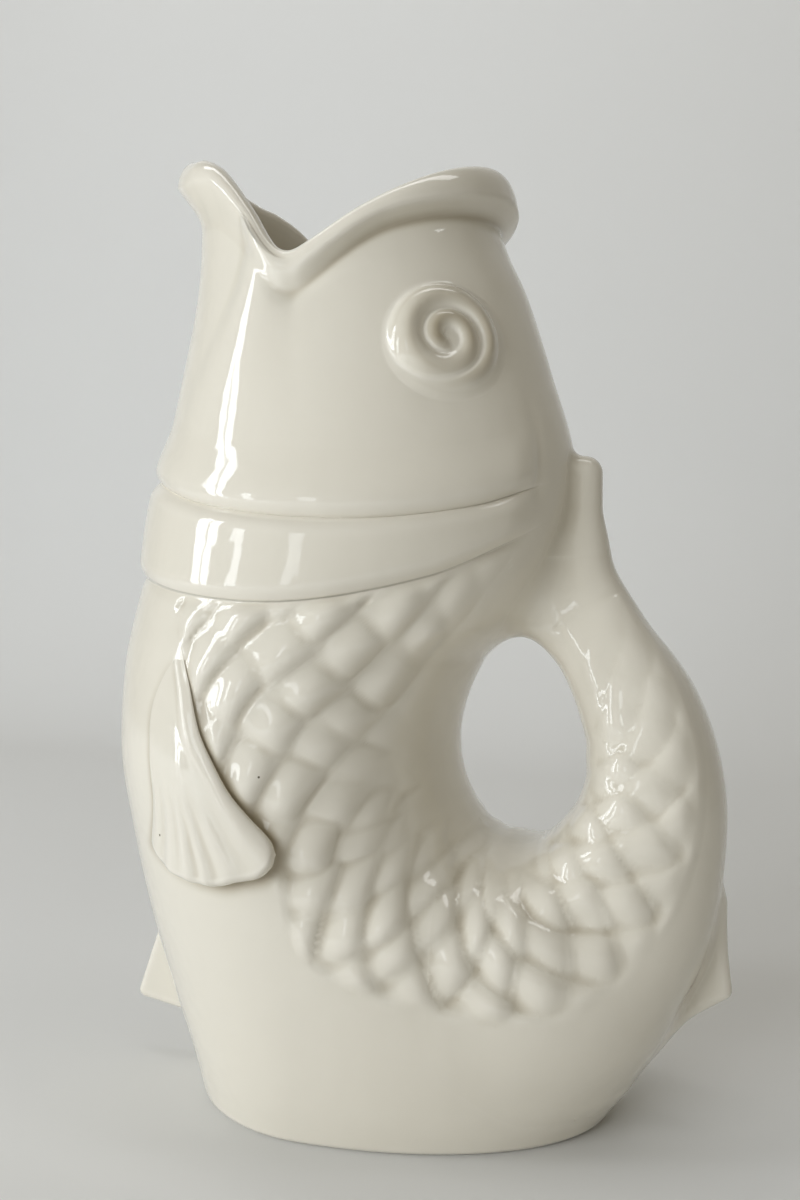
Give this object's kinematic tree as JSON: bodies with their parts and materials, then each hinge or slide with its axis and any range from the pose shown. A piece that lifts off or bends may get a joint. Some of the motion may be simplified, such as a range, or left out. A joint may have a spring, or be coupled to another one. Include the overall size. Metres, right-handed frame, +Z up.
{
  "type": "fish-shaped jug",
  "caption": "Glazed ceramic pouring jug shaped as an upright fish: the open mouth is the spout and the curled hollow tail is the handle.",
  "frame": {"origin": "on the underside of the foot, in the plane of symmetry", "axes": "+Z up, -X towards the front of the fish and its spout, +X towards the tail that is the handle, XZ the plane of symmetry"},
  "size_m": [0.1616, 0.1052, 0.247],
  "materials": {
    "cream_glaze": "high gloss cream glaze"
  },
  "bodies": {
    "root": {"body_shell": "cream_glaze", "gill_collar": "cream_glaze", "head_shell": "cream_glaze", "tail_handle": "cream_glaze", "tail_fin": "cream_glaze", "front_fin": "cream_glaze", "rear_fin": "cream_glaze", "left_pectoral_fin": "cream_glaze", "right_pectoral_fin": "cream_glaze", "left_eye": "cream_glaze", "right_eye": "cream_glaze"}
  },
  "joints": []
}
